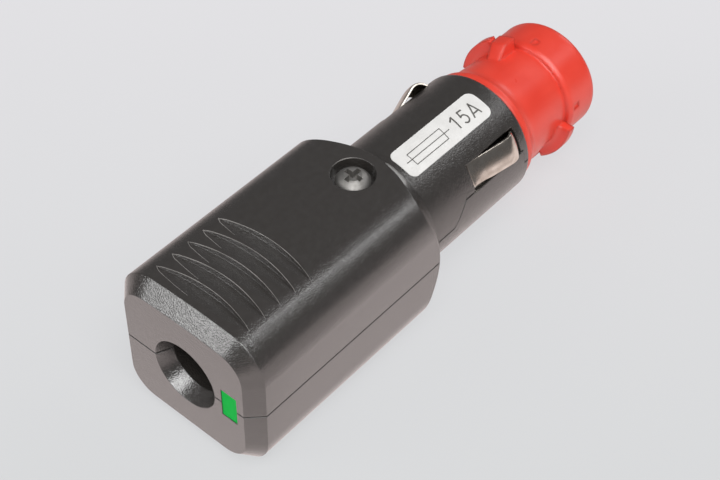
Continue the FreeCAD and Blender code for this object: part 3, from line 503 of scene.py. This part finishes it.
# %% [markdown]
# ## Side contacts
# Each side contact is a strip of plated spring metal, pressed slightly round across its width, that ramps
# out of its slot, runs over a crown and curls back in. A flat strip would mirror one tone only. The round
# back mirrors the dark room along its upper half and the pale sheet along its lower half. The strip is
# therefore a section with a round back, carried along the side view of the CAD strip, which it stands for.

# %% Draw the strip's side view
SPRING_TURN = math.radians(60.0)
STRIP_HALF_WIDTH = 2.1
STRIP_THICKNESS = 0.5
STRIP_ROUNDNESS = 9.0
CROWN_SHIFT = 0.4
CREST = (18.8, 9.25)
CREST_RADIUS = 2.6
RAMP_ANGLE = 17.7
TAIL_AND_FOOT = ((9.15, 7.8), (10.7, 7.8), (11.1, 9.52))
END_DEPTH = 8.75
LINE_POINTS = 140
MEAN_POINTS = 7
BOW_START = 10.9
BOW_LENGTH = 2.5


def arc_line(centre, radius, first, last, count=24):
    """Points on a circle between two angles, in degrees, counted from +X towards the outside."""
    t = np.radians(np.linspace(first, last, count))
    return np.stack([centre[0] + radius * np.cos(t), centre[1] + radius * np.sin(t)], axis=1)


def strip_line():
    """Side view as (x, distance from the axis): tail, foot, ramp, a round crest and a short end. It is
    resampled at even steps, and a running mean of seven points rounds its corners."""
    crest = arc_line(CREST, CREST_RADIUS, 90 + RAMP_ANGLE, 0)
    corners = np.concatenate([TAIL_AND_FOOT, crest, [[CREST[0] + CREST_RADIUS, END_DEPTH]]])
    reach = np.concatenate([[0], np.cumsum(np.linalg.norm(np.diff(corners, axis=0), axis=1))])
    steps = np.linspace(0, reach[-1], LINE_POINTS)
    line = np.stack([np.interp(steps, reach, corners[:, axis]) for axis in (0, 1)], axis=1)
    padded = np.pad(line, ((MEAN_POINTS // 2, MEAN_POINTS // 2), (0, 0)), "edge")
    mean = np.full(MEAN_POINTS, 1 / MEAN_POINTS)
    return np.stack([np.convolve(padded[:, axis], mean, "valid") for axis in (0, 1)], axis=1)


print("strip side view:", strip_line().shape[0], "points")


# %% Carry the round-backed section along it
def strip_section(count=96, squareness=8.0):
    """A superellipse |w / a| ** p + |v / b| ** p = 1: across the strip w, through its thickness v."""
    t = np.linspace(0, 2 * np.pi, count, endpoint=False)
    power = 2 / squareness
    across = STRIP_HALF_WIDTH * np.sign(np.cos(t)) * np.abs(np.cos(t)) ** power
    through = STRIP_THICKNESS / 2 * (np.sign(np.sin(t)) * np.abs(np.sin(t)) ** power - 1)
    return across, through


def strip_surface(side):
    """line + normal * (through - bow * drop) + side * across, with drop = R - sqrt(R * R - (w - c) ** 2).
    The crown lies c above the middle, and the bow grows from nothing at the foot to its full height on the
    ramp."""
    line = strip_line()
    along = np.gradient(line, axis=0)
    along /= np.linalg.norm(along, axis=1, keepdims=True)
    normal = np.stack([-along[:, 1], along[:, 0]], axis=1)
    across, through = strip_section()
    drop = STRIP_ROUNDNESS - np.sqrt(STRIP_ROUNDNESS ** 2 - (across - CROWN_SHIFT) ** 2)
    bow_share = np.clip((line[:, :1] - BOW_START) / BOW_LENGTH, 0, 1)
    lift = through[None, :] - bow_share * drop[None, :]
    x = line[:, :1] + normal[:, :1] * lift
    out = line[:, 1:] + normal[:, 1:] * lift
    y = side * (out * math.sin(SPRING_TURN) - across * math.cos(SPRING_TURN))
    z = out * math.cos(SPRING_TURN) + across * math.sin(SPRING_TURN)
    return np.stack(np.broadcast_arrays(x, y, z), axis=-1) * MM


def side_contact(name, side, body, node):
    """One strip, side 1 on the left and -1 on the right, which moves with its own body."""
    strip = grid_object(name, strip_surface(side), closed_v=True, capped=True)
    strip.data.shade_smooth()
    strip.data.materials.append(nickel_strip)
    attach(strip, body)
    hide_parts(node)
    return strip


contacts = [side_contact("left_contact_strip", 1, "left_spring", "left_contact_spring"),
            side_contact("right_contact_strip", -1, "right_spring", "right_contact_spring")]
print("side contacts:", [len(strip.data.polygons) for strip in contacts], "faces")

# %% [markdown]
# ## Coil spring
# Behind the fuse a coil spring pushes the tip out, and it shortens when the tip is pressed in. The spring is
# drawn again as a wire carried along a helix, in place of the CAD solid.

# %% Wind the coil spring
COIL_REAR = -0.95
COIL_LENGTH = 4.9
COIL_RADIUS = 2.4
COIL_WIRE = 0.3
COIL_TURNS = 4


def coil_surface(rows=240, columns=12):
    """The path is (rear + h * u, -R sin a, R cos a) with a = 2 pi * turns * u, and each row is a circle
    across it: path + w * (cos t * out + sin t * side)."""
    u = np.linspace(0, 1, rows)
    turn = 2 * np.pi * COIL_TURNS * u
    out = np.stack([np.zeros(rows), -np.sin(turn), np.cos(turn)], axis=1)
    path = COIL_RADIUS * out
    path[:, 0] = COIL_REAR + COIL_WIRE + (COIL_LENGTH - 2 * COIL_WIRE) * u
    along = np.gradient(path, axis=0)
    side = np.cross(along / np.linalg.norm(along, axis=1, keepdims=True), out)
    t = np.linspace(0, 2 * np.pi, columns, endpoint=False)[None, :, None]
    ring = np.cos(t) * out[:, None] + np.sin(t) * side[:, None]
    return (path[:, None] + COIL_WIRE * ring) * MM


coil = grid_object("coil_spring_wire", coil_surface(), closed_v=True, capped=True)
coil.data.shade_smooth()
coil.data.materials.append(nickel_strip)
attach(coil, "housing")
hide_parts("coil_spring")
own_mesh(coil)
print("coil spring:", len(coil.data.polygons), "faces")

# %% [markdown]
# ## Lips of the grip scallops
# Five scallops are cut into the top of the housing. Where each one breaks through the skin its edge catches
# the light in a thin line, which is the brightest line on the top. A rounding in the material would only
# smear it, so the line is a real bead in a light grey, which is a painted highlight: a small circle carried
# along the edge, which is where the scallop's floor or front wall meets the crowned top.

# %% Find the edges of one scallop
HOUSING_LENGTH = 40.5
HOUSING_WIDTH = 26.1
TOP_RISE = 12.5
CROWN_DROP = 0.2
CORNER_RADIUS = 6.2
FLAT_HALF = HOUSING_WIDTH / 2 - CORNER_RADIUS
CROWN_RADIUS = (FLAT_HALF ** 2 + CROWN_DROP ** 2) / (2 * CROWN_DROP)
SCALLOP_COUNT = 5
SCALLOP_PITCH = 2.93
FIRST_SCALLOP = 3.1
SCALLOP_START = FIRST_SCALLOP - HOUSING_LENGTH
SCALLOP_SLOPE = math.radians(18.0)
SCALLOP_LENGTH = 2.6
SCALLOP_HALF = 8.9
SCALLOP_BOW = 1.5
BOW_RADIUS = (SCALLOP_HALF ** 2 + SCALLOP_BOW ** 2) / (2 * SCALLOP_BOW)
SCALLOP_TIP = 8.48


def top_height(y):
    """Height of the skin: a wide crown in the middle and a round corner past the flat's end."""
    crown = TOP_RISE - CROWN_RADIUS + np.sqrt(CROWN_RADIUS ** 2 - np.minimum(np.abs(y), FLAT_HALF) ** 2)
    past = np.maximum(np.abs(y) - FLAT_HALF, 0)
    return crown - CORNER_RADIUS + np.sqrt(CORNER_RADIUS ** 2 - past ** 2)


def front_edge(y):
    """The bowed front wall stands square on the sloped floor: from the arc on the floor it goes up along the
    floor's normal until it meets the skin."""
    reach = SCALLOP_LENGTH - BOW_RADIUS + np.sqrt(BOW_RADIUS ** 2 - y ** 2)
    rise = (top_height(y) - TOP_RISE + reach * math.sin(SCALLOP_SLOPE)) / math.cos(SCALLOP_SLOPE)
    return SCALLOP_START + reach * math.cos(SCALLOP_SLOPE) + rise * math.sin(SCALLOP_SLOPE)


def rear_edge(y):
    """Where the sloped floor itself comes up through the skin."""
    return SCALLOP_START + (TOP_RISE - top_height(y)) / math.tan(SCALLOP_SLOPE)


tip_gap = float(front_edge(SCALLOP_TIP) - rear_edge(SCALLOP_TIP))
print("tip of a scallop: front and rear edges", round(tip_gap, 3), "mm apart")

# %% [markdown]
# The beads are thickest where the photograph shows the brightest line: towards the left on the front edges,
# at the left tip on the rear edges, and on the far side of the recess that the housing screw sits in.

# %% Run a bead along every edge
FRONT_LIP = (0.03, 0.075)
REAR_LIP = (0.06, 0.015)
REAR_LIP_ENDS = (1.5, 2.4, 3.4, 4.0, 4.4)
SCREW_PLACE = -6.0
SCREW_RECESS = 3.3
RIM_TURN = (105, -20)
RIM_LIP = (0.012, 0.085)
RIM_MIDDLE = 62
RIM_SPREAD = 24


def bead(x, y, radius, count=8):
    """A circle of changing radius carried along the edge. Its plane holds the way down into the skin, so the
    lip stands half proud: point + r * (cos t * across + sin t * up)."""
    line = np.stack([x, y, top_height(y)], axis=1)
    along = np.gradient(line, axis=0)
    along /= np.linalg.norm(along, axis=1, keepdims=True)
    across = np.cross(along, [0, 0, 1])
    across /= np.linalg.norm(across, axis=1, keepdims=True)
    up = np.cross(across, along)
    t = np.linspace(0, 2 * np.pi, count, endpoint=False)[None, :, None]
    ring = np.cos(t) * across[:, None] + np.sin(t) * up[:, None]
    return (line[:, None] + radius[:, None, None] * ring) * MM


def scallop_lips():
    """Front lips from tip to tip, which halve at the very tips, rear lips that die away from the left tip
    towards the middle, and the recess lip, whose radius swells as a bell curve round its middle."""
    front_y = SCALLOP_TIP * np.sin(np.linspace(-np.pi / 2, np.pi / 2, 90))
    thinning = 1 - 0.5 * (np.abs(front_y) / SCALLOP_TIP) ** 12
    front_r = np.interp(front_y, (-SCALLOP_TIP, SCALLOP_TIP), FRONT_LIP) * thinning
    rear_r = np.linspace(*REAR_LIP, 40)
    turn = np.radians(np.linspace(*RIM_TURN, 60))
    swell = np.exp(-((np.degrees(turn) - RIM_MIDDLE) / RIM_SPREAD) ** 2)
    rim_r = RIM_LIP[0] + RIM_LIP[1] * swell
    rim = bead(SCREW_PLACE + SCREW_RECESS * np.cos(turn), SCREW_RECESS * np.sin(turn), rim_r)
    lips = [grid_object("screw_recess_lip", rim, True, True)]
    for index in range(SCALLOP_COUNT):
        step = index * SCALLOP_PITCH
        line = bead(front_edge(front_y) + step, front_y, front_r)
        lips.append(grid_object(f"front_lip_{index + 1}", line, True, True))
        rear_y = np.linspace(SCALLOP_TIP, REAR_LIP_ENDS[index], 40)
        line = bead(rear_edge(rear_y) + step, rear_y, rear_r)
        lips.append(grid_object(f"rear_lip_{index + 1}", line, True, True))
    return lips


def painted_highlight_plastic():
    """A painted highlight: much greyer than the housing, with wide patches, so that a lip is brighter in
    some places than others.
    """
    finish, tree, shader = new_finish("painted_highlight_plastic", {"IOR": 1.6})
    grains = grain(tree, 1400.0, 0.8)
    # Painted highlight: this light grey stands in for the light that the scallop edges catch.
    tint(tree, shader, grains.outputs["Patches"], (0.15, 0.141, 0.133), (0.31, 0.293, 0.281))
    tint(tree, shader, grains.outputs["Height"], 0.25, 0.4, *HEIGHT_RANGE, "Roughness")
    return finish


lip_highlight_finish = painted_highlight_plastic()
all_lips = scallop_lips()
for lip in all_lips:
    lip.data.shade_smooth()
    lip.data.materials.append(lip_highlight_finish)
    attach(lip, "housing")
print("lips:", len(all_lips))

# %% [markdown]
# ## Lamp, wiring and fuse
# The lamp is a block of green plastic with hardly any gloss. The rest is inside.

# %% Finish the lamp and the inner pieces
def green_lens():
    """Two greens that lie close together."""
    finish, tree, shader = new_finish("green_lens", {"Specular IOR Level": 0.02})
    grains = grain(tree, 1500.0, 0.8)
    raise_bump(tree, shader, grains.outputs["Height"], 0.00002, 0.25)
    tint(tree, shader, grains.outputs["Patches"], (0.005, 0.45, 0.058), (0.008, 0.51, 0.071))
    tint(tree, shader, grains.outputs["Height"], 0.25, 0.4, *HEIGHT_RANGE, "Roughness")
    return finish


def plain_plastic(name, dark, light, smooth, rough):
    """A fine, even grain between two tones and two roughnesses."""
    finish, tree, shader = new_finish(name, {})
    grains = grain(tree, 2500.0, 0.8)
    raise_bump(tree, shader, grains.outputs["Height"], 0.00002, 0.3)
    tint(tree, shader, grains.outputs["Patches"], dark, light)
    tint(tree, shader, grains.outputs["Height"], smooth, rough, *HEIGHT_RANGE, "Roughness")
    return finish


def clear_glass():
    """Faintly green, with a slow change of roughness."""
    values = {"Transmission Weight": 1.0, "IOR": 1.5, "Base Color": (0.93, 0.96, 0.95, 1)}
    finish, tree, shader = new_finish("clear_glass", values)
    grains = grain(tree, 300.0, 0.5)
    tint(tree, shader, grains.outputs["Height"], 0.02, 0.06, *HEIGHT_RANGE, "Roughness")
    return finish


dress(green_lens(), "indicator_lamp")
dress(plain_plastic("resistor_lacquer", (0.52, 0.38, 0.22), (0.62, 0.47, 0.30), 0.3, 0.45),
      "series_resistor")
dress(plain_plastic("wire_cover", (0.03, 0.03, 0.035), (0.05, 0.05, 0.055), 0.4, 0.55),
      "jumper_wire")
dress(clear_glass(), "fuse_tube")
print("lamp, resistor, wire and fuse finished")

# %% [markdown]
# ## Label
# The label is a white film with a fuse sign and the fuse's rating. Film and print are both drawn flat, in
# the label's own plane, and then rolled onto the barrel. The film has round corners, and stands for the
# CAD film.

# %% Roll a flat drawing onto the barrel
PRINT_RADIUS = 10.57
PRINT_MIDDLE = math.radians(104.0)


def roll(flat, radius):
    """(x, s) on the flat label to (x, r cos a, r sin a) on the barrel, where a = middle + s / r."""
    angle = PRINT_MIDDLE + flat[..., 1] / radius
    return np.stack([flat[..., 0], radius * np.cos(angle), radius * np.sin(angle)], axis=-1) * MM


print("label middle:", round(math.degrees(PRINT_MIDDLE)), "degrees round the barrel")

# %% Cut the film
FILM_ENDS = (1.45, 20.40)
FILM_SIDES = (-2.52, 2.72)
FILM_CORNER = 1.25
FILM_RADIUS = 10.55
FILM_SUNK = 10.42


def film_surface():
    """Rows along x and columns across: s = middle + w * half(x), where half(x) shrinks over the round
    corners by c - sqrt(c * c - d * d). The outermost ring of points is sunk into the barrel, which closes
    the edge."""
    end = 0.5 - 0.5 * np.cos(np.linspace(0, np.pi, 81))
    x = FILM_ENDS[0] + (FILM_ENDS[1] - FILM_ENDS[0]) * end
    past = np.maximum(FILM_CORNER - np.minimum(x - FILM_ENDS[0], FILM_ENDS[1] - x), 0)
    half = (FILM_SIDES[1] - FILM_SIDES[0]) / 2 - FILM_CORNER + np.sqrt(FILM_CORNER ** 2 - past ** 2)
    w = np.linspace(1, -1, 25)
    x, half = np.pad(x, 1, "edge")[:, None], np.pad(half, 1, "edge")[:, None]
    w = np.pad(w, 1, "edge")[None, :]
    middle = (FILM_SIDES[0] + FILM_SIDES[1]) / 2
    flat = np.stack(np.broadcast_arrays(x, middle + w * half), axis=-1)
    radius = np.full(flat.shape[:2], FILM_RADIUS)
    radius[[0, -1], :] = FILM_SUNK
    radius[:, [0, -1]] = FILM_SUNK
    return roll(flat, radius)


white_film = plain_plastic("white_film", (0.76, 0.75, 0.73), (0.82, 0.81, 0.79), 0.35, 0.5)
dress(white_film, "rating_label")
film = grid_object("label_film", film_surface())
film.data.materials.append(white_film)
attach(film, "housing")
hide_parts("rating_label")
print("label film:", len(film.data.polygons), "faces")

# %% [markdown]
# The print is drawn as strokes. Each stroke is a line of points widened to a ribbon, which keeps the letters
# sharp from any distance.

# %% Draw strokes
FINE = 0.14
BOLD = 0.27


def ribbon(points, width):
    """Left and right sides of a line: each point moved half a width along the line's normal, with the
    normals of two neighbouring runs averaged."""
    points = np.asarray(points, float)
    runs = np.diff(points, axis=0)
    runs /= np.linalg.norm(runs, axis=1, keepdims=True)
    before = np.concatenate([runs[:1], runs])
    after = np.concatenate([runs, runs[-1:]])
    along = before + after
    along /= np.linalg.norm(along, axis=1, keepdims=True)
    normal = np.stack([-along[:, 1], along[:, 0]], axis=1)
    reach = width / 2 / np.maximum((before * along).sum(1, keepdims=True), 0.5)
    return np.stack([points + normal * reach, points - normal * reach], axis=1)


def between(start, end, count=12):
    """A straight line of points."""
    return np.linspace(start, end, count)


def bow(centre, radii, first, last, count=24):
    """An arc of an ellipse: centre + (a cos t, b sin t)."""
    t = np.radians(np.linspace(first, last, count))
    return np.stack([centre[0] + radii[0] * np.cos(t), centre[1] + radii[1] * np.sin(t)], axis=1)


STROKES = {
    "fuse_sign_left": (between((3.75, -0.70), (11.20, -0.74)), FINE),
    "fuse_sign_right": (between((3.75, 1.40), (11.00, 1.42)), FINE),
    "fuse_sign_tail": (between((3.75, -0.75), (3.75, 1.45)), FINE),
    "fuse_sign_tip": (between((11.20, -0.79), (11.00, 1.47)), FINE),
    "fuse_sign_line": (between((2.60, 0.34), (12.32, 0.36)), FINE),
    "one_stem": (between((14.16, -1.02), (14.00, 1.40)), BOLD),
    "one_flag": (between((14.14, -0.94), (13.36, -0.34)), BOLD),
    "five_top": (between((15.54, -0.90), (16.52, -0.84)), BOLD),
    "five_back": (between((15.60, -0.98), (15.38, 0.16)), BOLD),
    "five_bowl": (bow((15.78, 0.66), (0.64, 0.72), 222, 505), BOLD),
    "a_left": (between((17.16, 1.53), (18.24, -1.00)), BOLD),
    "a_right": (between((18.16, -1.00), (18.86, 1.51)), BOLD),
    "a_bar": (between((17.45, 0.88), (18.66, 0.88)), BOLD),
}


def label_print():
    """All strokes in grey ink, just proud of the film."""
    strokes = [grid_object(name, roll(ribbon(line, width), PRINT_RADIUS))
               for name, (line, width) in STROKES.items()]
    ink = plain_plastic("grey_ink", (0.095, 0.091, 0.084), (0.130, 0.124, 0.115), 0.4, 0.55)
    for stroke in strokes:
        stroke.data.materials.append(ink)
        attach(stroke, "housing")
    return strokes


print("label strokes:", len(label_print()))
